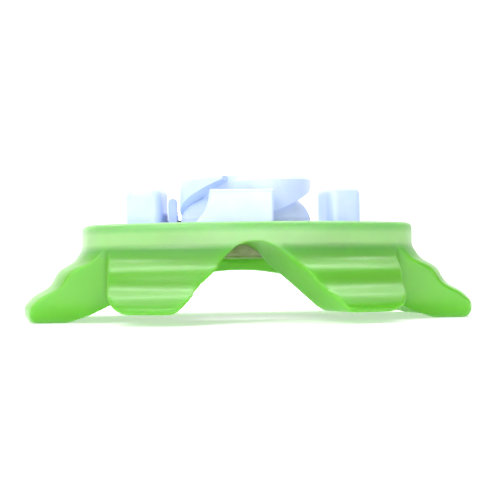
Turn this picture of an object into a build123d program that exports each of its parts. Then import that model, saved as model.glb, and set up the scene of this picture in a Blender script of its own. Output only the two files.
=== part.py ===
from build123d import *
import math
import os

# Airway tube holder: a soft four-flapped face cushion, a rigid plate in its top, and a twist
# collar whose cam grooves drive three jaws onto the tube.
# Millimetres. X right, Y back, Z up. The origin is on the bore's axis, level with the flap tips.

# ---- plan outline of the cushion's ring band (eight tangent arcs) ----
RING_HALF_WIDTH = 36.2
RING_HALF_DEPTH = 30.8
FRONT_ARC_R = 50.0
SIDE_ARC_R = 65.0
CORNER_ARC_R = 13.0

# ---- cushion heights and flaps ----
RING_TOP_Z = 20.4
RING_BOTTOM_Z = 15.9
RING_EDGE_FILLET = 1.0
WEB_TOP_Z = 17.9
FLAP_ROOT_Z = 16.4
FRONT_FLAP_HALF_WIDTH = 29.8
SIDE_FLAP_HALF_WIDTH = 20.5
FRONT_FLAP_BOTTOM_Z = 2.2
FLAP_CORNER_R = 4.5
# Outer face of a flap, as (distance outside the ring outline, height), top to tip.
FLAP_WAVE = [
    (0.0, 15.6), (0.5, 14.6), (1.5, 13.1), (3.8, 11.6), (5.6, 10.0), (6.4, 8.4),
    (7.9, 6.9), (10.4, 5.5), (11.9, 4.0),
]
FLAP_TIP = (12.5, 2.3)
FLAP_TIP_ROUND = (11.95, 0.7)
FLAP_FOOT_OUTER = 10.9
FLAP_FOOT_INNER = 4.4
FLAP_INNER_LOW = (1.4, 1.6)
FLAP_INNER_TOP = (-16.9, RING_BOTTOM_Z + 0.5)
FLAP_LEAST_R = 0.4
FLAP_CUT_DEPTH = 50.0
INSIDE_HALF_WIDTH = 20.0
INSIDE_HALF_DEPTH = 30.0
OVERLAP = 0.5

# ---- arches ----
ARCH_SKEW_DEG = 20.0
ARCH_FRONT_PLANE_Y = -46.0
ARCH_LEFT_FOOT_X = -14.8
ARCH_RIGHT_FOOT_X = 18.8
ARCH_PEAK = (7.33, 20.0)
ARCH_PEAK_R = 7.7
ARCH_FOOT_R = 2.4
ARCH_DEPTH = 34.0
ARCH_CUT_HALF_WIDTH = 60.0
ARCH_CUT_LOW_Z = -6.0
ARCH_CUT_R = 0.5
BACK_ARCH_TOP_Z = 10.4
BACK_ARCH_R = 50.0

# ---- base plate and the rings that hold it ----
PLATE_INSET = 2.2
PLATE_TOP_Z = 20.2
BOSS_R = 15.6
BOSS_GAP = 0.1
TUBE_BORE_R = 8.5
GUIDE_OUTER_R = 9.7
GUIDE_BOTTOM_Z = 13.1
GUIDE_LIP_R = 0.5
BORE_CHAMFER = 0.8
RECESS_R = 15.3
RECESS_FLOOR_Z = 19.0
BACKING_R = 19.0
BACKING_BORE_R = 10.6
BACKING_BOTTOM_Z = 13.7
BACKING_SCREW_R = 13.2
KEEPER_R = 18.4
KEEPER_BORE_R = 14.75
KEEPER_TOP_Z = 20.8
KEEPER_SEAT_DEPTH = 0.35
KEEPER_HEAD_R = 1.25
KEEPER_SHANK_R = 0.7
KEEPER_SCREW_END_Z = 18.45
KEEPER_GAP = (-13.6, 1.6, 15.0)
KEEPER_SCREW_R = 16.8
KEEPER_AZIMUTHS = [45.0, 110.0, 225.0, 315.0]
BACKING_AZIMUTHS = [90.0, 210.0, 330.0]
BACKING_HEAD_R = 1.85
BACKING_HEAD_DEPTH = 1.2
BACKING_SHANK_R = 0.9
BACKING_SCREW_END_Z = 18.2
SCREW_GAP = 0.1
FIT_GAP = 0.05
EDGE_R = 0.4

# ---- collar ----
FLANGE_R = 15.1
FLANGE_BOTTOM_Z = 19.1
FLANGE_TOP_Z = 20.1
RIM_R = 14.4
RIM_TOP_Z = 21.9
DOME_MIDDLE = (13.3, 0, 24.3)
NECK_R = 11.3
NECK_Z = 26.2
COLLAR_TOP_Z = 30.8
BLADE_COUNT = 3
BLADE_SPAN_DEG = 112.0
BLADE_TIP_DEG = 6.0
BLADE_START_Z = 19.6
BLADE_TIP_Z = 30.0
BLADE_START_R = 11.6
BLADE_R = 14.6
BLADE_GROWTH = 0.42
BLADE_EDGE_ROUND = 1.2
BLADE_TIP_EDGE = 0.35
BLADE_UNDERCUT = 0.5
BLADE_ROOT_R = 10.3
BLADE_SECTIONS = 9

# ---- jaws ----
JAW_AZIMUTHS = [30.0, 150.0, 270.0]
JAW_WIDTH = 4.6
JAW_BOTTOM_Z = 16.7
JAW_TOP_Z = 18.9
JAW_INNER_R = 9.6
JAW_OUTER_R = 14.2
JAW_TRAVEL = 3.3
PAD_FACE_R = 8.5
PIN_R = 0.7
PIN_CENTRE_R = 12.8
PIN_TOP_Z = 20.0
PIN_FLOOR = 0.5
CAM_SPAN_DEG = 75.0
CAM_STEPS = 8
CAM_CLEARANCE = 0.18
GROOVE_FLOOR_Z = 16.6
GROOVE_WIDTH = 4.8
GROOVE_END_R = 14.5

# ---- posts, thumb block, lever ----
POST_X = 21.95
POST_Y = 6.6
POST_SIDE = 8.3
POST_TURN_DEG = 17.6
POST_TOP_Z = 29.2
POST_CORNER_R = 2.1
POST_TOP_R = 1.9
POST_PEG_R = 1.6
PEG_BOTTOM_Z = 18.6
BLOCK_FRONT_Y = -20.3
BLOCK_BACK_Y = -15.3
BLOCK_RIGHT_X = 4.5
BLOCK_LEFT_TOP_X = -8.75
BLOCK_LEFT_BASE_X = -12.3
BLOCK_FLANK_MIDDLE = (-9.7, 23.4)
BLOCK_EDGE_R = 0.7
BLOCK_TOP_Z = 27.4
BLOCK_FOOT_BACK_Y = -18.7
BLOCK_PEG_R = 0.7
BLOCK_PEG_X = (-8.0, 1.5)
LEVER_OUTER_X = -16.6
LEVER_INNER_X = -15.2
LEVER_TAB_OUTER_X = -17.2
LEVER_TAB_R = 0.9
LEVER_BOTTOM_Z = 20.45
LEVER_ARM_TOP_Z = 23.4
LEVER_TAB_TOP_Z = 26.7
LEVER_TIP_Y = 2.8
LEVER_TAB_END_Y = 5.6
LEVER_PIN = (-15.9, 13.2)
LEVER_PIN_R = 0.6
LEVER_PIN_HEAD_R = 1.1
LEVER_PIN_CLEARANCE = 0.05
LEVER_PIN_HEAD_GAP = 0.15
LEVER_PIN_HEAD_HEIGHT = 0.55
LEVER_EYE_R = 1.2
SHOE_GAP = 0.12
SHOE_LIFT = 0.1
SHOE_INNER_X = -13.5
SHOE_TOP_Z = 21.8
SPRING_R = 0.7
SPRING_WALL = 0.4
SPRING_Z = 21.9
SPRING_Y = 11.3
SPRING_SEAT_X = -19.1
SPRING_SEAT_DEPTH = 1.3
SPRING_SEAT_HALF = 0.8
SPRING_SEAT_TOP_Z = 23.0
PEG_END_GAP = 0.1


def along_z(radius, low, high, x=0.0, y=0.0):
    """A solid round bar from one height to another."""
    return Pos(x, y, (low + high) / 2) * Cylinder(radius, high - low)


def block(x0, x1, y0, y1, z0, z1):
    """A box given by its two corners."""
    return Pos((x0 + x1) / 2, (y0 + y1) / 2, (z0 + z1) / 2) * Box(x1 - x0, y1 - y0, z1 - z0)


def circle_crossing(c1, r1, c2, r2):
    """The front right crossing of two circles in plan."""
    dx, dy = c2[0] - c1[0], c2[1] - c1[1]
    gap = math.hypot(dx, dy)
    near = (r1 ** 2 - r2 ** 2 + gap ** 2) / (2 * gap)
    aside = math.sqrt(r1 ** 2 - near ** 2)
    return (c1[0] + (near * dx - aside * dy) / gap, c1[1] + (near * dy + aside * dx) / gap)


def point_on(centre, radius, azimuth_deg):
    a = math.radians(azimuth_deg)
    return (centre[0] + radius * math.cos(a), centre[1] + radius * math.sin(a))


# The arc centres of the front right quarter; the other quarters mirror them.
FRONT_CENTRE = (0.0, FRONT_ARC_R - RING_HALF_DEPTH)
SIDE_CENTRE = (RING_HALF_WIDTH - SIDE_ARC_R, 0.0)
CORNER_CENTRE = circle_crossing(
    FRONT_CENTRE, FRONT_ARC_R - CORNER_ARC_R, SIDE_CENTRE, SIDE_ARC_R - CORNER_ARC_R
)
FRONT_END_DEG = math.degrees(
    math.atan2(CORNER_CENTRE[1] - FRONT_CENTRE[1], CORNER_CENTRE[0] - FRONT_CENTRE[0])
)
SIDE_END_DEG = math.degrees(
    math.atan2(CORNER_CENTRE[1] - SIDE_CENTRE[1], CORNER_CENTRE[0] - SIDE_CENTRE[0])
)


def plan_face(inset):
    """The ring outline, moved inward, as a face at height zero."""
    front_r = FRONT_ARC_R - inset
    side_r = SIDE_ARC_R - inset
    corner_r = CORNER_ARC_R - inset
    f = point_on(FRONT_CENTRE, front_r, FRONT_END_DEG)
    c = point_on(CORNER_CENTRE, corner_r, (FRONT_END_DEG + SIDE_END_DEG) / 2)
    s = point_on(SIDE_CENTRE, side_r, SIDE_END_DEG)
    half_w = RING_HALF_WIDTH - inset
    half_d = RING_HALF_DEPTH - inset
    edges = [
        ThreePointArc((-f[0], f[1]), (0, -half_d), (f[0], f[1])),
        ThreePointArc((f[0], f[1]), (c[0], c[1]), (s[0], s[1])),
        ThreePointArc((s[0], s[1]), (half_w, 0), (s[0], -s[1])),
        ThreePointArc((s[0], -s[1]), (c[0], -c[1]), (f[0], -f[1])),
        ThreePointArc((f[0], -f[1]), (0, half_d), (-f[0], -f[1])),
        ThreePointArc((-f[0], -f[1]), (-c[0], -c[1]), (-s[0], -s[1])),
        ThreePointArc((-s[0], -s[1]), (-half_w, 0), (-s[0], s[1])),
        ThreePointArc((-s[0], s[1]), (-c[0], c[1]), (-f[0], f[1])),
    ]
    return make_face(Wire(edges))


def plan_slab(inset, low, high):
    return Pos(0, 0, low) * extrude(plan_face(inset), amount=high - low)


def flap_section(base_r, least_r):
    """Cross section of a flap, wavy outside and straight inside, at a given outline radius."""
    def at(d, z):
        return Vector(base_r + d, 0, z)

    inner_top_d = max(FLAP_INNER_TOP[0], least_r - base_r)
    run = (FLAP_INNER_TOP[0] - FLAP_INNER_LOW[0]) / (FLAP_INNER_TOP[1] - FLAP_INNER_LOW[1])
    inner_top_z = FLAP_INNER_LOW[1] + (inner_top_d - FLAP_INNER_LOW[0]) / run
    wave = [at(d, z) for d, z in FLAP_WAVE]
    edges = [
        Line(at(0, FLAP_ROOT_Z), wave[0]),
        Spline(*wave, at(*FLAP_TIP), tangents=[(0, 0, -1), (0, 0, -1)]),
        ThreePointArc(at(*FLAP_TIP), at(*FLAP_TIP_ROUND), at(FLAP_FOOT_OUTER, 0)),
        Line(at(FLAP_FOOT_OUTER, 0), at(FLAP_FOOT_INNER, 0)),
        Line(at(FLAP_FOOT_INNER, 0), at(*FLAP_INNER_LOW)),
        Line(at(*FLAP_INNER_LOW), at(inner_top_d, inner_top_z)),
    ]
    if inner_top_z < FLAP_ROOT_Z:
        edges.append(Line(at(inner_top_d, inner_top_z), at(inner_top_d, FLAP_ROOT_Z)))
    edges.append(Line(at(inner_top_d, FLAP_ROOT_Z), at(0, FLAP_ROOT_Z)))
    return make_face(Wire(edges))


def flap_sector(centre, base_r, start_deg, end_deg):
    """The flap section turned about one arc centre of the outline."""
    body = revolve(flap_section(base_r, FLAP_LEAST_R), Axis.Z, revolution_arc=end_deg - start_deg)
    return Pos(centre[0], centre[1], 0) * Rot(0, 0, start_deg) * body


def skirt():
    """The flap section carried all round the outline, before it is cut into four flaps."""
    front_half = FRONT_END_DEG + 90
    side_half = -SIDE_END_DEG
    cx, cy = CORNER_CENTRE
    sectors = [
        flap_sector(FRONT_CENTRE, FRONT_ARC_R, -90 - front_half, -90 + front_half),
        flap_sector(CORNER_CENTRE, CORNER_ARC_R, FRONT_END_DEG, SIDE_END_DEG),
        flap_sector(SIDE_CENTRE, SIDE_ARC_R, -side_half, side_half),
        flap_sector((cx, -cy), CORNER_ARC_R, -SIDE_END_DEG, -FRONT_END_DEG),
        flap_sector((0, -FRONT_CENTRE[1]), FRONT_ARC_R, 90 - front_half, 90 + front_half),
        flap_sector((-cx, -cy), CORNER_ARC_R, 180 + FRONT_END_DEG, 180 + SIDE_END_DEG),
        flap_sector((-SIDE_CENTRE[0], 0), SIDE_ARC_R, 180 - side_half, 180 + side_half),
        flap_sector((-cx, cy), CORNER_ARC_R, 180 - SIDE_END_DEG, 180 - FRONT_END_DEG),
    ]
    return sectors


def flap_window(half_width, bottom_z):
    """Front view of a flap as a face in XZ: straight sides and rounded lower corners."""
    top = FLAP_ROOT_Z + 1
    outline = FilletPolyline(
        (-half_width, 0, top), (-half_width, 0, bottom_z), (half_width, 0, bottom_z),
        (half_width, 0, top), radius=FLAP_CORNER_R,
    )
    lid = Line((half_width, 0, top), (-half_width, 0, top))
    return make_face(Wire(outline.edges() + [lid]))


def front_arch():
    """The front arch, cut obliquely through the front flap."""
    z = FRONT_FLAP_BOTTOM_Z
    low = ARCH_CUT_LOW_Z
    wide = ARCH_CUT_HALF_WIDTH
    y = ARCH_FRONT_PLANE_Y
    outline = FilletPolyline(
        (-wide, y, low), (-wide, y, z), (ARCH_LEFT_FOOT_X, y, z),
        (ARCH_PEAK[0], y, ARCH_PEAK[1]),
        (ARCH_RIGHT_FOOT_X, y, z), (wide, y, z), (wide, y, low),
        radius=[ARCH_CUT_R, ARCH_FOOT_R, ARCH_PEAK_R, ARCH_FOOT_R, ARCH_CUT_R],
    )
    floor = Line((wide, y, low), (-wide, y, low))
    face = make_face(Wire(outline.edges() + [floor]))
    skew = math.radians(ARCH_SKEW_DEG)
    return extrude(face, amount=ARCH_DEPTH, dir=Vector(-math.sin(skew), math.cos(skew), 0))


def face_cushion():
    sectors = skirt()
    whole = sectors[0]
    for sector in sectors[1:]:
        whole = whole + sector
    deep = FLAP_CUT_DEPTH
    front_window = extrude(flap_window(FRONT_FLAP_HALF_WIDTH, FRONT_FLAP_BOTTOM_Z),
                           amount=deep, dir=Vector(0, -1, 0))
    back_window = extrude(flap_window(FRONT_FLAP_HALF_WIDTH, FRONT_FLAP_BOTTOM_Z),
                          amount=deep, dir=Vector(0, 1, 0))
    side_window = Rot(0, 0, 90) * extrude(flap_window(SIDE_FLAP_HALF_WIDTH, 0),
                                          amount=deep, both=True, dir=Vector(0, 1, 0))
    arch = front_arch()
    back_arch = Pos(0, deep / 2, BACK_ARCH_TOP_Z - BACK_ARCH_R) * (
        Rot(90, 0, 0) * Cylinder(BACK_ARCH_R, deep))
    front = (whole & front_window) - arch
    back = (whole & back_window) - back_arch
    sides = whole & side_window
    sides = sides - block(-INSIDE_HALF_WIDTH, INSIDE_HALF_WIDTH, -INSIDE_HALF_DEPTH,
                          INSIDE_HALF_DEPTH, -1, FLAP_ROOT_Z - OVERLAP)
    ring = plan_slab(0, RING_BOTTOM_Z, RING_TOP_Z)
    ring = fillet(ring.faces().sort_by(Axis.Z)[-1].edges(), RING_EDGE_FILLET)
    ring = ring - plan_slab(PLATE_INSET, WEB_TOP_Z, RING_TOP_Z + 1)
    ring = ring - arch
    body = ring + front + back + sides
    body = body - along_z(BOSS_R + BOSS_GAP, 0, RING_TOP_Z)
    return body - along_z(BACKING_R + FIT_GAP, 0, RING_BOTTOM_Z)


def screw(head_r, head_low, head_high, shank_r, shank_end):
    """A small screw: a flat head and a plain shank."""
    low, high = min(head_low, head_high), max(head_low, head_high)
    shank = along_z(shank_r, min(shank_end, high), max(shank_end, low))
    return along_z(head_r, low, high) + shank


def ring_of(solid, radius, azimuths):
    """Copies of a solid round the bore."""
    return [Pos(*point_on((0, 0), radius, a), 0) * solid for a in azimuths]


def backing_ring():
    body = along_z(BACKING_R, BACKING_BOTTOM_Z, RING_BOTTOM_Z)
    body = body - along_z(BACKING_BORE_R, BACKING_BOTTOM_Z - 1, RING_BOTTOM_Z + 1)
    body = fillet(body.edges().filter_by(GeomType.CIRCLE).group_by(Axis.Z)[0], EDGE_R)
    hole = along_z(BACKING_SHANK_R + 2 * SCREW_GAP, BACKING_BOTTOM_Z - 1, RING_BOTTOM_Z + 1)
    seat = along_z(BACKING_HEAD_R + 1.5 * SCREW_GAP, BACKING_BOTTOM_Z - 1,
                   BACKING_BOTTOM_Z + BACKING_HEAD_DEPTH)
    for cut in ring_of(hole + seat, BACKING_SCREW_R, BACKING_AZIMUTHS):
        body = body - cut
    return body


def backing_screws():
    one = screw(BACKING_HEAD_R, BACKING_BOTTOM_Z + SCREW_GAP, BACKING_BOTTOM_Z + BACKING_HEAD_DEPTH,
                BACKING_SHANK_R, BACKING_SCREW_END_Z)
    return Compound(children=ring_of(one, BACKING_SCREW_R, BACKING_AZIMUTHS))


def base_plate():
    body = plan_slab(PLATE_INSET + FIT_GAP, WEB_TOP_Z, PLATE_TOP_Z)
    body = fillet(body.faces().sort_by(Axis.Z)[-1].edges(), EDGE_R)
    body = body + along_z(BOSS_R, RING_BOTTOM_Z, WEB_TOP_Z + OVERLAP)
    # spring seat behind the left post
    body = body + block(SPRING_SEAT_X - SPRING_SEAT_DEPTH, SPRING_SEAT_X,
                        SPRING_Y - SPRING_SEAT_HALF, SPRING_Y + SPRING_SEAT_HALF,
                        WEB_TOP_Z + 1, SPRING_SEAT_TOP_Z)
    body = body - along_z(RECESS_R, RECESS_FLOOR_Z, PLATE_TOP_Z + 1)
    body = body - along_z(GUIDE_OUTER_R, RING_BOTTOM_Z - 1, PLATE_TOP_Z + 1)
    for a in JAW_AZIMUTHS:
        groove = block(0, GROOVE_END_R, -GROOVE_WIDTH / 2, GROOVE_WIDTH / 2,
                       GROOVE_FLOOR_Z, RECESS_FLOOR_Z + 1)
        body = body - Rot(0, 0, a) * groove
    backing_hole = along_z(BACKING_SHANK_R, RING_BOTTOM_Z - 1, BACKING_SCREW_END_Z + SCREW_GAP)
    keeper_hole = along_z(KEEPER_SHANK_R, KEEPER_SCREW_END_Z - FIT_GAP, PLATE_TOP_Z + 1)
    holes = ring_of(backing_hole, BACKING_SCREW_R, BACKING_AZIMUTHS)
    holes += ring_of(keeper_hole, KEEPER_SCREW_R, KEEPER_AZIMUTHS)
    for cut in holes:
        body = body - cut
    for x, y, radius in peg_places():
        body = body - along_z(radius, PEG_BOTTOM_Z, PLATE_TOP_Z + 1, x, y)
    return body - along_z(LEVER_PIN_R, PEG_BOTTOM_Z, PLATE_TOP_Z + 1, *LEVER_PIN)


def peg_places():
    """Where the posts and the thumb block plug into the plate."""
    block_y = (BLOCK_FRONT_Y + BLOCK_FOOT_BACK_Y) / 2
    return [
        (-POST_X, POST_Y, POST_PEG_R), (POST_X, POST_Y, POST_PEG_R),
        (BLOCK_PEG_X[0], block_y, BLOCK_PEG_R), (BLOCK_PEG_X[1], block_y, BLOCK_PEG_R),
    ]


def tube_guide():
    """Soft bush under the jaws, which keeps the tube off hard edges."""
    body = along_z(BACKING_BORE_R - FIT_GAP, GUIDE_BOTTOM_Z, RING_BOTTOM_Z)
    body = body + along_z(GUIDE_OUTER_R - FIT_GAP, RING_BOTTOM_Z - OVERLAP, GROOVE_FLOOR_Z)
    body = body - along_z(TUBE_BORE_R, 0, RING_TOP_Z)
    return fillet(body.edges().filter_by(GeomType.CIRCLE).group_by(Axis.Z)[0], GUIDE_LIP_R)


def keeper_ring():
    body = along_z(KEEPER_R, PLATE_TOP_Z, KEEPER_TOP_Z)
    body = body - along_z(KEEPER_BORE_R, PLATE_TOP_Z - 1, KEEPER_TOP_Z + 1)
    # open on the left for the lock lever
    gap_inner_x, gap_front_y, gap_back_y = KEEPER_GAP
    body = body - block(-KEEPER_R - 1, gap_inner_x, gap_front_y, gap_back_y,
                        PLATE_TOP_Z - 1, KEEPER_TOP_Z + 1)
    hole = along_z(KEEPER_SHANK_R + SCREW_GAP, PLATE_TOP_Z - 1, KEEPER_TOP_Z + 1)
    seat = along_z(KEEPER_HEAD_R + SCREW_GAP, KEEPER_TOP_Z - KEEPER_SEAT_DEPTH, KEEPER_TOP_Z + 1)
    for cut in ring_of(hole + seat, KEEPER_SCREW_R, KEEPER_AZIMUTHS):
        body = body - cut
    return body


def keeper_screws():
    one = screw(KEEPER_HEAD_R, KEEPER_TOP_Z - KEEPER_SEAT_DEPTH, KEEPER_TOP_Z - FIT_GAP,
                KEEPER_SHANK_R, KEEPER_SCREW_END_Z)
    return Compound(children=ring_of(one, KEEPER_SCREW_R, KEEPER_AZIMUTHS))


def blade(tip_deg):
    """One helical finger blade: it rises and grows outward from its low root to its tip."""
    sections = []
    for i in range(BLADE_SECTIONS):
        t = i / (BLADE_SECTIONS - 1)
        azimuth = tip_deg - BLADE_SPAN_DEG * (1 - t)
        low = BLADE_START_Z + (BLADE_TIP_Z - BLADE_START_Z) * t
        grown = math.sin(math.pi / 2 * min(1.0, t / BLADE_GROWTH))
        outer_r = BLADE_START_R + (BLADE_R - BLADE_START_R) * grown
        edge = BLADE_EDGE_ROUND + (BLADE_TIP_EDGE - BLADE_EDGE_ROUND) * t
        outline = Polyline(
            (BLADE_ROOT_R, 0, low - BLADE_UNDERCUT), (outer_r, 0, low),
            (outer_r, 0, COLLAR_TOP_Z - edge),
            (outer_r - edge, 0, COLLAR_TOP_Z),
            (BLADE_ROOT_R, 0, COLLAR_TOP_Z), close=True,
        )
        sections.append(Rot(0, 0, azimuth) * make_face(outline.edges()))
    return loft(sections)


def cam_slot(azimuth_deg):
    """A blind groove under the collar whose distance from the axis falls evenly with the turn."""
    width = PIN_R + CAM_CLEARANCE
    overrun_deg = 1.0
    centres = []
    for i in range(CAM_STEPS + 1):
        t = i / CAM_STEPS
        turn = -overrun_deg + (CAM_SPAN_DEG + 2 * overrun_deg) * t
        radius = PIN_CENTRE_R - JAW_TRAVEL * turn / CAM_SPAN_DEG
        centres.append(point_on((0, 0), radius, azimuth_deg - turn))
    cut = along_z(width, JAW_TOP_Z, PIN_TOP_Z + CAM_CLEARANCE, *centres[0])
    for a, b in zip(centres, centres[1:]):
        length = math.dist(a, b)
        turn = math.degrees(math.atan2(b[1] - a[1], b[0] - a[0]))
        run = block(0, length, -width, width, JAW_TOP_Z, PIN_TOP_Z + CAM_CLEARANCE)
        cut = cut + Pos(a[0], a[1], 0) * Rot(0, 0, turn) * run
        cut = cut + along_z(width, JAW_TOP_Z, PIN_TOP_Z + CAM_CLEARANCE, *b)
    return cut


def lock_collar():
    profile = Wire([
        Line((TUBE_BORE_R, 0, FLANGE_BOTTOM_Z), (FLANGE_R, 0, FLANGE_BOTTOM_Z)),
        Line((FLANGE_R, 0, FLANGE_BOTTOM_Z), (FLANGE_R, 0, FLANGE_TOP_Z)),
        Line((FLANGE_R, 0, FLANGE_TOP_Z), (RIM_R, 0, FLANGE_TOP_Z)),
        Line((RIM_R, 0, FLANGE_TOP_Z), (RIM_R, 0, RIM_TOP_Z)),
        ThreePointArc((RIM_R, 0, RIM_TOP_Z), DOME_MIDDLE, (NECK_R, 0, NECK_Z)),
        Line((NECK_R, 0, NECK_Z), (NECK_R, 0, COLLAR_TOP_Z)),
        Line((NECK_R, 0, COLLAR_TOP_Z), (TUBE_BORE_R + BORE_CHAMFER, 0, COLLAR_TOP_Z)),
        Line((TUBE_BORE_R + BORE_CHAMFER, 0, COLLAR_TOP_Z),
             (TUBE_BORE_R, 0, COLLAR_TOP_Z - BORE_CHAMFER)),
        Line((TUBE_BORE_R, 0, COLLAR_TOP_Z - BORE_CHAMFER), (TUBE_BORE_R, 0, FLANGE_BOTTOM_Z)),
    ])
    body = revolve(make_face(profile), Axis.Z)
    for i in range(BLADE_COUNT):
        body = body + blade(BLADE_TIP_DEG + 360.0 * i / BLADE_COUNT)
    for a in JAW_AZIMUTHS:
        body = body - cam_slot(a)
    return body


def jaw(azimuth_deg):
    body = block(JAW_INNER_R, JAW_OUTER_R, -JAW_WIDTH / 2, JAW_WIDTH / 2, JAW_BOTTOM_Z, JAW_TOP_Z)
    body = fillet(body.edges().filter_by(Axis.Z).sort_by(Axis.X)[-2:], EDGE_R)
    body = body - along_z(PIN_R, JAW_BOTTOM_Z + PIN_FLOOR, JAW_TOP_Z + 1, PIN_CENTRE_R, 0)
    return Rot(0, 0, azimuth_deg) * body


def jaw_pin(azimuth_deg):
    body = along_z(PIN_R, JAW_BOTTOM_Z + PIN_FLOOR, PIN_TOP_Z, PIN_CENTRE_R, 0)
    return Rot(0, 0, azimuth_deg) * body


def jaw_pad(azimuth_deg):
    body = block(PAD_FACE_R - 1, JAW_INNER_R, -JAW_WIDTH / 2, JAW_WIDTH / 2,
                 JAW_BOTTOM_Z, JAW_TOP_Z)
    body = body - along_z(PAD_FACE_R, JAW_BOTTOM_Z - 1, JAW_TOP_Z + 1)
    return Rot(0, 0, azimuth_deg) * body


def strap_post(side):
    body = block(-POST_SIDE / 2, POST_SIDE / 2, -POST_SIDE / 2, POST_SIDE / 2,
                 PLATE_TOP_Z, POST_TOP_Z)
    body = fillet(body.edges().filter_by(Axis.Z), POST_CORNER_R)
    body = fillet(body.faces().sort_by(Axis.Z)[-1].edges(), POST_TOP_R)
    body = Rot(0, 0, side * POST_TURN_DEG) * body
    body = body + along_z(POST_PEG_R, PEG_BOTTOM_Z + PEG_END_GAP, PLATE_TOP_Z + 1)
    return Pos(side * POST_X, POST_Y, 0) * body


def thumb_block():
    y0, y1 = BLOCK_FRONT_Y, BLOCK_BACK_Y
    flank = (BLOCK_LEFT_TOP_X, BLOCK_TOP_Z)
    outline = Wire([
        Line((BLOCK_RIGHT_X, y0, PLATE_TOP_Z), (BLOCK_RIGHT_X, y0, BLOCK_TOP_Z)),
        Line((BLOCK_RIGHT_X, y0, BLOCK_TOP_Z), (flank[0], y0, flank[1])),
        ThreePointArc((flank[0], y0, flank[1]), (BLOCK_FLANK_MIDDLE[0], y0, BLOCK_FLANK_MIDDLE[1]),
                      (BLOCK_LEFT_BASE_X, y0, PLATE_TOP_Z)),
        Line((BLOCK_LEFT_BASE_X, y0, PLATE_TOP_Z), (BLOCK_RIGHT_X, y0, PLATE_TOP_Z)),
    ])
    body = extrude(make_face(outline), amount=y1 - y0, dir=Vector(0, 1, 0))
    front_edges = body.faces().sort_by(Axis.Y)[0].edges()
    body = fillet(front_edges.filter_by(lambda e: e.center().Z > KEEPER_TOP_Z), BLOCK_EDGE_R)
    body = body - block(BLOCK_LEFT_BASE_X - 1, BLOCK_RIGHT_X + 1, BLOCK_FOOT_BACK_Y, 0,
                        PLATE_TOP_Z - 1, KEEPER_TOP_Z)
    for x, y, radius in peg_places()[2:]:
        body = body + along_z(radius, PEG_BOTTOM_Z + PEG_END_GAP, PLATE_TOP_Z + 1, x, y)
    return body


def lock_lever():
    pin_x, pin_y = LEVER_PIN
    body = block(LEVER_OUTER_X, LEVER_INNER_X, LEVER_TIP_Y, pin_y,
                 LEVER_BOTTOM_Z, LEVER_ARM_TOP_Z)
    tab = block(LEVER_TAB_OUTER_X, LEVER_INNER_X, LEVER_TIP_Y, LEVER_TAB_END_Y,
                LEVER_BOTTOM_Z, LEVER_TAB_TOP_Z)
    tab = fillet(tab.faces().sort_by(Axis.Z)[-1].edges().filter_by(Axis.Y), LEVER_TAB_R)
    body = body + tab
    body = body + along_z(LEVER_EYE_R, LEVER_BOTTOM_Z, LEVER_ARM_TOP_Z, pin_x, pin_y)
    bore_r = LEVER_PIN_R + LEVER_PIN_CLEARANCE
    return body - along_z(bore_r, LEVER_BOTTOM_Z - 1, LEVER_ARM_TOP_Z + 1, pin_x, pin_y)


def lever_shoe():
    """Rubber brake shoe between the lever and the collar's rim."""
    body = block(LEVER_INNER_X, SHOE_INNER_X, LEVER_TIP_Y, LEVER_TAB_END_Y,
                 LEVER_BOTTOM_Z + SHOE_LIFT, SHOE_TOP_Z)
    return body - along_z(RIM_R + SHOE_GAP, PLATE_TOP_Z, COLLAR_TOP_Z)


def lever_pin():
    head_z = LEVER_ARM_TOP_Z + LEVER_PIN_HEAD_GAP
    head_top_z = head_z + LEVER_PIN_HEAD_HEIGHT
    body = along_z(LEVER_PIN_R, PEG_BOTTOM_Z + PEG_END_GAP, head_top_z, *LEVER_PIN)
    return body + along_z(LEVER_PIN_HEAD_R, head_z, head_top_z, *LEVER_PIN)


def lever_spring():
    """The coil's outer shape, between its seat on the plate and the lever's arm."""
    length = LEVER_OUTER_X - SPRING_SEAT_X
    tube = Cylinder(SPRING_R, length) - Cylinder(SPRING_R - SPRING_WALL, length)
    middle_x = (LEVER_OUTER_X + SPRING_SEAT_X) / 2
    return Pos(middle_x, SPRING_Y, SPRING_Z) * Rot(0, 90, 0) * tube


def main():
    os.makedirs("parts", exist_ok=True)
    nodes = {
        "face_cushion": face_cushion(),
        "base_plate": base_plate(),
        "backing_ring": backing_ring(),
        "backing_screws": backing_screws(),
        "tube_guide": tube_guide(),
        "keeper_ring": keeper_ring(),
        "keeper_screws": keeper_screws(),
        "lock_collar": lock_collar(),
        "strap_post_left": strap_post(-1),
        "strap_post_right": strap_post(1),
        "thumb_block": thumb_block(),
        "lock_lever": lock_lever(),
        "lever_shoe": lever_shoe(),
        "lever_pin": lever_pin(),
        "lever_spring": lever_spring(),
    }
    for number, azimuth in enumerate(JAW_AZIMUTHS, start=1):
        nodes[f"jaw_{number}"] = jaw(azimuth)
        nodes[f"jaw_pin_{number}"] = jaw_pin(azimuth)
        nodes[f"jaw_pad_{number}"] = jaw_pad(azimuth)
    for name, shape in nodes.items():
        export_step(shape, f"parts/{name}.step")


main()
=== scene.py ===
import math

import bmesh
import bpy
from mathutils import Matrix, Vector


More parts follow.
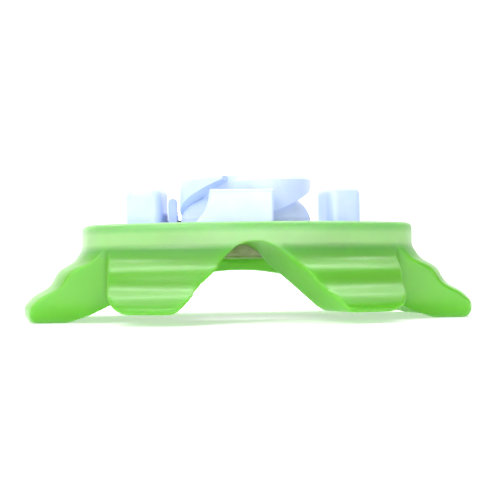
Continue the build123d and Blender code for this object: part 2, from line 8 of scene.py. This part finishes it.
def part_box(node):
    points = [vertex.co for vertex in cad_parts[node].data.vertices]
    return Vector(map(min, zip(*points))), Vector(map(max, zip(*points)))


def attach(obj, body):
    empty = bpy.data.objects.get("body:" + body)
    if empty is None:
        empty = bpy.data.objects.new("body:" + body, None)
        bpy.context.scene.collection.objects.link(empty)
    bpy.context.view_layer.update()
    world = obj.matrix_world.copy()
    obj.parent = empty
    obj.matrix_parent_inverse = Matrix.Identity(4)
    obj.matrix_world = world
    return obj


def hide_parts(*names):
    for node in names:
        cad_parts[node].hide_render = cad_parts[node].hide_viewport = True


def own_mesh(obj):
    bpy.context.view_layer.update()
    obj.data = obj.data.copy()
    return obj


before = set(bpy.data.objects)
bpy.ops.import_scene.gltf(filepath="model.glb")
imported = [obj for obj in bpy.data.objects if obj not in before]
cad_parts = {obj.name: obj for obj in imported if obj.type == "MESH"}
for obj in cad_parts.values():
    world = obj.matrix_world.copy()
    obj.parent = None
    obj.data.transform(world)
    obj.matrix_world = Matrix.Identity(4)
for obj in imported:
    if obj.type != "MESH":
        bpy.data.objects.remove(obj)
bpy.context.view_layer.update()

MM = 0.001

# Camera: level with the lower half of the object, a little to the object's left, close to it.
CAMERA_DISTANCE = 280 * MM
CAMERA_HEIGHT = 11.66 * MM
CAMERA_AZIMUTH = math.radians(4.0)
FIELD_WIDTH = 111.6 * MM
AIM_RIGHT = 0.88 * MM
AIM_HEIGHT = 14.96 * MM
CAMERA_ROLL = math.radians(-0.7)
SENSOR_WIDTH = 36.0


# ---------------------------------------------------------------- materials

TIP_GREEN = (0.14, 0.51, 0.012)
LOBE_GREEN = (0.17, 0.55, 0.035)
# Painted shade: a darker band just under the ring's lower edge.
SHADE_GREEN = (0.15, 0.51, 0.09)
# Painted light: the ring band is paler, painted for light shining back through the rim off the white
# plate, with a painted sheen on its lower half.
RIM_GLOW_PALE_BAND = (0.48, 0.79, 0.36)
RIM_GLOW_BAND_GREEN = (0.32, 0.67, 0.25)
# Painted light: a deep, saturated green on the inward faces, standing in for light that has passed
# through the rubber.
INNER_THROUGH_LIGHT_GREEN = (0.15, 0.62, 0.003)
PALE_BLUE = (0.59, 0.71, 0.93)
PALER_BLUE = (0.64, 0.75, 0.95)
# Painted shade: the lever's colours are a darker blue copy of the white plastic, for the shade it sits
# in beside the left post.
LEVER_SHADE_BLUE = (0.36, 0.47, 0.80)
PALER_LEVER_SHADE_BLUE = (0.41, 0.52, 0.84)

class Nodes:
    """A material's node tree, with short calls for the nodes that every material here uses."""

    def __init__(self, name):
        self.material = bpy.data.materials.new(name)
        self.material.use_nodes = True
        self.tree = self.material.node_tree
        self.shader = self.tree.nodes["Principled BSDF"]
        self.coords = self.tree.nodes.new("ShaderNodeTexCoord").outputs["Object"]

    def set(self, **values):
        for key, value in values.items():
            self.shader.inputs[key.replace("_", " ")].default_value = value

    def link(self, output, target):
        self.tree.links.new(output, target)

    def noise(self, per_mm, detail=3.0, stretch=(1, 1, 1)):
        """Noise with about per_mm features in each millimetre."""
        mapping = self.tree.nodes.new("ShaderNodeMapping")
        mapping.inputs["Scale"].default_value = [s / MM for s in stretch]
        texture = self.tree.nodes.new("ShaderNodeTexNoise")
        texture.inputs["Scale"].default_value = per_mm
        texture.inputs["Detail"].default_value = detail
        self.link(self.coords, mapping.inputs["Vector"])
        self.link(mapping.outputs["Vector"], texture.inputs["Vector"])
        return texture.outputs["Fac"]

    def colours(self, factor, low, high, start=0.35, end=0.65):
        ramp = self.tree.nodes.new("ShaderNodeValToRGB")
        for element, position, colour in zip(ramp.color_ramp.elements, (start, end), (low, high)):
            element.position = position
            element.color = (*colour, 1.0)
        self.link(factor, ramp.inputs["Fac"])
        self.link(ramp.outputs["Color"], self.shader.inputs["Base Color"])

    def outward_mask(self):
        """1 on faces that look away from the object's middle, 0 on the faces inside its hollow, which
        get the painted through-light green.
        """
        geometry = self.tree.nodes.new("ShaderNodeNewGeometry")
        facing = self.tree.nodes.new("ShaderNodeVectorMath")
        facing.operation = "DOT_PRODUCT"
        self.link(geometry.outputs["Normal"], facing.inputs[0])
        centred = self.tree.nodes.new("ShaderNodeVectorMath")
        centred.operation = "NORMALIZE"
        self.link(self.coords, centred.inputs[0])
        self.link(centred.outputs["Vector"], facing.inputs[1])
        spread = self.tree.nodes.new("ShaderNodeMapRange")
        spread.interpolation_type = "SMOOTHSTEP"
        spread.inputs["From Min"].default_value = -0.2
        spread.inputs["From Max"].default_value = 0.7
        self.link(facing.outputs["Value"], spread.inputs["Value"])
        return spread.outputs["Result"]

    def mixed(self, factor, low, high):
        """A colour between low and high; each is a plain colour or another node's output."""
        mix = self.tree.nodes.new("ShaderNodeMix")
        mix.data_type = "RGBA"
        self.link(factor, mix.inputs[0])
        for socket, colour in ((mix.inputs[6], low), (mix.inputs[7], high)):
            if isinstance(colour, tuple):
                socket.default_value = (*colour, 1.0)
            else:
                self.link(colour, socket)
        return mix.outputs[2]

    def layered_colours(self, outside, blotches):
        """Deep green at the tips; above them painted light and shade by height: a painted shade band
        just under the ring, and a ring band painted paler for light shining back through the rim where
        the rubber lies over the white plate. The inward faces get a deep green painted for light that
        has passed through the rubber.
        """
        split = self.tree.nodes.new("ShaderNodeSeparateXYZ")
        self.link(self.coords, split.inputs["Vector"])
        height = self.tree.nodes.new("ShaderNodeMapRange")
        height.inputs["From Max"].default_value = 21 * MM
        self.link(split.outputs["Z"], height.inputs["Value"])
        ramp = self.tree.nodes.new("ShaderNodeValToRGB")
        stops = ramp.color_ramp.elements
        stops[0].position, stops[0].color = 0.05, (*TIP_GREEN, 1)
        stops[1].position, stops[1].color = 0.90, (*RIM_GLOW_BAND_GREEN, 1)
        # These stops paint light and shade by height: the painted shade band under the ring, then the
        # ring band painted paler for light through the rim.
        for position, colour in ((0.28, LOBE_GREEN), (0.60, LOBE_GREEN), (0.70, SHADE_GREEN),
                                 (0.77, RIM_GLOW_PALE_BAND), (0.86, RIM_GLOW_PALE_BAND)):
            stops.new(position).color = (*colour, 1)
        self.link(height.outputs["Result"], ramp.inputs["Fac"])
        faint = self.tree.nodes.new("ShaderNodeMath")
        faint.operation = "MULTIPLY"
        faint.inputs[1].default_value = 0.3
        self.link(blotches, faint.inputs[0])
        outer = self.mixed(faint.outputs[0], ramp.outputs["Color"], LOBE_GREEN)
        self.link(self.mixed(outside, INNER_THROUGH_LIGHT_GREEN, outer), self.shader.inputs["Base Color"])

    def roughness(self, factor, low, high):
        spread = self.tree.nodes.new("ShaderNodeMapRange")
        spread.inputs["From Min"].default_value = 0.3
        spread.inputs["From Max"].default_value = 0.7
        spread.inputs["To Min"].default_value = low
        spread.inputs["To Max"].default_value = high
        self.link(factor, spread.inputs["Value"])
        self.link(spread.outputs["Result"], self.shader.inputs["Roughness"])

    def soft_edges(self, radius):
        """Normals that round every sharp edge by this radius, as a mould does."""
        bevel = self.tree.nodes.new("ShaderNodeBevel")
        bevel.samples = 6
        bevel.inputs["Radius"].default_value = radius
        return bevel.outputs["Normal"]

    def bump(self, factor, height, under=None):
        """A bump of the given height in metres, on top of an earlier one when there is one."""
        node = self.tree.nodes.new("ShaderNodeBump")
        node.inputs["Strength"].default_value = 1.0
        node.inputs["Distance"].default_value = height
        self.link(factor, node.inputs["Height"])
        if under is not None:
            self.link(under, node.inputs["Normal"])
        self.link(node.outputs["Normal"], self.shader.inputs["Normal"])
        return node.outputs["Normal"]


def green_elastomer():
    """Soft translucent green rubber: light runs through the thin edges and comes out brighter there,
    and its colours also paint light and shade in.
    """
    n = Nodes("soft_green_elastomer")
    outside = n.outward_mask()
    n.layered_colours(outside, n.noise(0.12))
    n.roughness(n.noise(0.5), 0.36, 0.48)
    waves = n.bump(n.noise(0.25, detail=1.0), 0.02 * MM)
    n.bump(n.noise(5.0), 0.006 * MM, under=waves)
    n.shader.subsurface_method = "RANDOM_WALK"
    n.set(Subsurface_Weight=1.0, Subsurface_Scale=4.0 * MM, IOR=1.42, Transmission_Weight=0.35)
    n.shader.inputs["Subsurface Radius"].default_value = (0.45, 1.0, 0.22)
    n.set(Coat_Weight=0.35, Coat_Roughness=0.34)
    return n.material


def white_plastic(name, rough_low, rough_high, grain, low=PALE_BLUE, high=PALER_BLUE,
                  edge_radius=0.5 * MM):
    """White injection-moulded plastic with a cool cast, a fine grain and slow sink waves."""
    n = Nodes(name)
    n.colours(n.noise(0.2), low, high)
    n.roughness(n.noise(0.8), rough_low, rough_high)
    under = n.soft_edges(edge_radius) if edge_radius else None
    waves = n.bump(n.noise(0.15, detail=1.0), 0.04 * MM, under=under)
    n.bump(n.noise(6.0), grain, under=waves)
    n.set(Subsurface_Weight=0.35, Subsurface_Scale=1.2 * MM, IOR=1.49)
    n.shader.inputs["Subsurface Radius"].default_value = (0.5, 0.8, 1.0)
    n.set(Coat_Weight=0.2, Coat_Roughness=0.15)
    return n.material


def painted_shade_brown_plastic():
    """Painted shade: white plastic of the inner rings and jaws, coloured a dull grey-brown for the
    shade and green bounce light under the cushion, with short fibres in its skin.
    """
    n = Nodes("painted_shade_brown_plastic")
    n.colours(n.noise(0.6, stretch=(1, 3, 1)), (0.19, 0.21, 0.09), (0.26, 0.28, 0.13))
    n.roughness(n.noise(2.0), 0.38, 0.55)
    n.bump(n.noise(7.0, stretch=(1, 4, 1)), 0.008 * MM)
    n.set(IOR=1.52)
    return n.material


def silicone(name, low, high, weight):
    """Cloudy silicone with a matt skin."""
    n = Nodes(name)
    n.colours(n.noise(0.4), low, high)
    n.roughness(n.noise(1.5), 0.42, 0.58)
    n.bump(n.noise(4.0), 0.01 * MM)
    n.set(Subsurface_Weight=weight, Subsurface_Scale=1.0 * MM, IOR=1.41)
    n.shader.inputs["Subsurface Radius"].default_value = (1.0, 0.9, 0.8)
    return n.material


def black_rubber():
    n = Nodes("black_rubber")
    n.colours(n.noise(1.0), (0.018, 0.018, 0.020), (0.035, 0.034, 0.033))
    n.roughness(n.noise(2.0), 0.62, 0.8)
    n.bump(n.noise(8.0), 0.012 * MM)
    n.set(IOR=1.5)
    return n.material


def stainless_steel():
    """Turned stainless steel: fine rings of tool marks round the screws and pins."""
    n = Nodes("stainless_steel")
    n.colours(n.noise(1.2), (0.52, 0.52, 0.53), (0.62, 0.62, 0.62))
    n.roughness(n.noise(3.0, stretch=(1, 1, 6)), 0.2, 0.36)
    n.bump(n.noise(5.0, stretch=(1, 1, 8)), 0.003 * MM)
    n.set(Metallic=1.0)
    return n.material


def studio_paper():
    """White light-table acrylic, lit faintly from below so that shadows on it stay soft and pale."""
    n = Nodes("studio_paper")
    n.colours(n.noise(0.01), (0.90, 0.90, 0.90), (0.91, 0.91, 0.91))
    n.roughness(n.noise(0.05), 0.85, 0.95)
    n.set(Emission_Strength=0.42)
    return n.material


GREEN = green_elastomer()
WHITE = white_plastic("white_plastic", 0.30, 0.42, 0.005 * MM)
# Painted shade: the lever gets a darker copy of the white plastic.
SHADED = white_plastic("lever_plastic_painted_shade", 0.30, 0.42, 0.005 * MM, LEVER_SHADE_BLUE, PALER_LEVER_SHADE_BLUE)
GLOSS = white_plastic("white_gloss_plastic", 0.30, 0.42, 0.003 * MM, edge_radius=0)
SHADE_BROWN = painted_shade_brown_plastic()
PAD = silicone("pad_silicone", (0.62, 0.66, 0.64), (0.72, 0.75, 0.73), 0.6)
CLEAR = silicone("guide_silicone", (0.20, 0.30, 0.09), (0.26, 0.36, 0.13), 0.4)
RUBBER = black_rubber()
STEEL = stainless_steel()


def dress(piece, material):
    """Give the whole piece one material."""
    if not piece.material_slots:
        piece.data.materials.append(material)
    for slot in piece.material_slots:
        slot.material = material


# ---------------------------------------------------------------- pieces

def finished_copy(node, name, voxel, passes):
    """The node's solid as one even mesh whose edges are rounded as a mould rounds them."""
    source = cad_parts[node]
    piece = bpy.data.objects.new(name, source.data.copy())
    bpy.context.scene.collection.objects.link(piece)
    piece.matrix_world = source.matrix_world.copy()
    piece.data.materials.clear()

    work = bmesh.new()
    work.from_mesh(piece.data)
    bmesh.ops.remove_doubles(work, verts=work.verts, dist=0.002 * MM)
    work.to_mesh(piece.data)
    work.free()

    remesh = piece.modifiers.new("even_mesh", "REMESH")
    remesh.mode = "VOXEL"
    remesh.voxel_size = voxel
    rounding = piece.modifiers.new("rounded_edges", "SMOOTH")
    rounding.factor = 0.5
    rounding.iterations = passes
    graph = bpy.context.evaluated_depsgraph_get()
    mesh = bpy.data.meshes.new_from_object(piece.evaluated_get(graph))
    piece.modifiers.clear()
    piece.data = mesh
    for polygon in mesh.polygons:
        polygon.use_smooth = True
    return piece


def coil(name, low, high, wire, turns):
    """A compression coil along X that fills the box from low to high, with closed ends."""
    middle = (low + high) / 2
    radius = (high.z - low.z) / 2 - wire
    length = high.x - low.x - 2 * wire
    steps_per_turn = 24
    around = 8
    steps = int(turns * steps_per_turn)
    closed = 1.0 / turns
    work = bmesh.new()
    rings = []
    for k in range(steps + 1):
        t = k / steps
        angle = 2 * math.pi * turns * t
        open_part = min(max((t - closed * 0.7) / (1 - 1.4 * closed), 0.0), 1.0)
        pitch = 2 * wire * min(t, closed * 0.7) / (closed * 0.7)
        pitch += 2 * wire * max(t - 1 + closed * 0.7, 0.0) / (closed * 0.7)
        x = low.x + wire + pitch * 0.5 + open_part * (length - 2 * wire)
        outward = Vector((0, math.cos(angle), math.sin(angle)))
        centre = Vector((x, middle.y, middle.z)) + outward * radius
        ring = []
        for j in range(around):
            turn = 2 * math.pi * j / around
            offset = outward * math.cos(turn) + Vector((1, 0, 0)) * math.sin(turn)
            ring.append(work.verts.new(centre + offset * wire))
        rings.append(ring)
    for a, b in zip(rings, rings[1:]):
        for j in range(around):
            k = (j + 1) % around
            work.faces.new((a[j], a[k], b[k], b[j]))
    work.faces.new(rings[0][::-1])
    work.faces.new(rings[-1])
    bmesh.ops.recalc_face_normals(work, faces=work.faces)
    mesh = bpy.data.meshes.new(name)
    work.to_mesh(mesh)
    work.free()
    for polygon in mesh.polygons:
        polygon.use_smooth = True
    piece = bpy.data.objects.new(name, mesh)
    bpy.context.scene.collection.objects.link(piece)
    return piece


def place(piece, body, node, material):
    dress(piece, material)
    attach(piece, body)
    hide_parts(node)


cushion = finished_copy("face_cushion", "cushion_moulding", 0.40 * MM, 8)
place(cushion, "base", "face_cushion", GREEN)

guide = finished_copy("tube_guide", "guide_moulding", 0.20 * MM, 4)
place(guide, "base", "tube_guide", CLEAR)

shoe = finished_copy("lever_shoe", "shoe_moulding", 0.08 * MM, 3)
place(shoe, "lever", "lever_shoe", RUBBER)

for k in (1, 2, 3):
    pad = finished_copy(f"jaw_pad_{k}", f"pad_moulding_{k}", 0.12 * MM, 4)
    place(pad, f"jaw_slide_{k}", f"jaw_pad_{k}", PAD)

spring_low, spring_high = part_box("lever_spring")
spring = coil("spring_coil", spring_low, spring_high, 0.10 * MM, 6.5)
place(spring, "base", "lever_spring", STEEL)
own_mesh(spring)

NODE_MATERIALS = {
    "base_plate": WHITE,
    "backing_ring": SHADE_BROWN,
    "backing_screws": STEEL,
    "keeper_ring": WHITE,
    "keeper_screws": STEEL,
    "strap_post_left": WHITE,
    "strap_post_right": WHITE,
    "thumb_block": WHITE,
    "lock_collar": GLOSS,
    "lock_lever": SHADED,
    "lever_pin": STEEL,
    "jaw_1": SHADE_BROWN,
    "jaw_2": SHADE_BROWN,
    "jaw_3": SHADE_BROWN,
    "jaw_pin_1": STEEL,
    "jaw_pin_2": STEEL,
    "jaw_pin_3": STEEL,
}
for node, material in NODE_MATERIALS.items():
    dress(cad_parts[node], material)


# ---------------------------------------------------------------- studio

def sweep(name, half_width, front, bend_start, bend_radius, height):
    """Floor and wall in one pale sheet, joined by a wide curve."""
    profile = [(front, 0.0), (bend_start, 0.0)]
    bend_steps = 24
    for k in range(1, bend_steps + 1):
        turn = math.pi / 2 * k / bend_steps
        profile.append((bend_start + bend_radius * math.sin(turn), bend_radius * (1 - math.cos(turn))))
    profile.append((bend_start + bend_radius, height))
    work = bmesh.new()
    left = [work.verts.new((-half_width, y, z)) for y, z in profile]
    right = [work.verts.new((half_width, y, z)) for y, z in profile]
    for k in range(len(profile) - 1):
        work.faces.new((left[k], right[k], right[k + 1], left[k + 1]))
    mesh = bpy.data.meshes.new(name)
    work.to_mesh(mesh)
    work.free()
    for polygon in mesh.polygons:
        polygon.use_smooth = True
    piece = bpy.data.objects.new(name, mesh)
    bpy.context.scene.collection.objects.link(piece)
    dress(piece, studio_paper())
    return piece


def soft_light(name, position, size, watts, colour=(1, 1, 1)):
    light = bpy.data.lights.new(name, "AREA")
    light.shape = "RECTANGLE"
    light.size, light.size_y = size
    light.energy = watts
    light.color = colour
    lamp = bpy.data.objects.new(name, light)
    bpy.context.scene.collection.objects.link(lamp)
    lamp.location = position
    aim = Vector((0, 0, 15 * MM)) - Vector(position)
    lamp.rotation_euler = aim.to_track_quat("-Z", "Y").to_euler()
    return lamp


sweep("studio_sweep", 1.5, -1.2, 0.35, 0.5, 1.6)
soft_light("key_light", (-0.40, -0.50, 0.42), (0.40, 0.40), 3.0)
soft_light("low_front_light", (0.04, -0.72, 0.07), (0.8, 0.10), 1.7)
soft_light("top_light", (0.0, 0.05, 0.70), (0.7, 0.7), 2.2)
soft_light("wall_light", (0.0, 0.45, 1.1), (1.6, 0.3), 10.0)

world = bpy.data.worlds.new("studio_world")
world.use_nodes = True
world.node_tree.nodes["Background"].inputs["Color"].default_value = (1.0, 1.0, 1.0, 1.0)
world.node_tree.nodes["Background"].inputs["Strength"].default_value = 0.26
bpy.context.scene.world = world
bpy.context.scene.view_settings.view_transform = "Standard"
bpy.context.scene.view_settings.look = "None"

camera_data = bpy.data.cameras.new("camera")
camera_data.sensor_width = SENSOR_WIDTH
camera_data.lens = SENSOR_WIDTH * CAMERA_DISTANCE / FIELD_WIDTH
camera_data.clip_start = 0.01
camera = bpy.data.objects.new("camera", camera_data)
bpy.context.scene.collection.objects.link(camera)
camera.location = (-math.sin(CAMERA_AZIMUTH) * CAMERA_DISTANCE,
                   -math.cos(CAMERA_AZIMUTH) * CAMERA_DISTANCE, CAMERA_HEIGHT)
camera_right = Vector((math.cos(CAMERA_AZIMUTH), -math.sin(CAMERA_AZIMUTH), 0))
aim_point = camera_right * AIM_RIGHT + Vector((0, 0, AIM_HEIGHT))
facing = (aim_point - camera.location).to_track_quat("-Z", "Y").to_matrix().to_4x4()
camera.matrix_world = (Matrix.Translation(camera.location) @ facing
                       @ Matrix.Rotation(CAMERA_ROLL, 4, "Z"))
bpy.context.scene.camera = camera
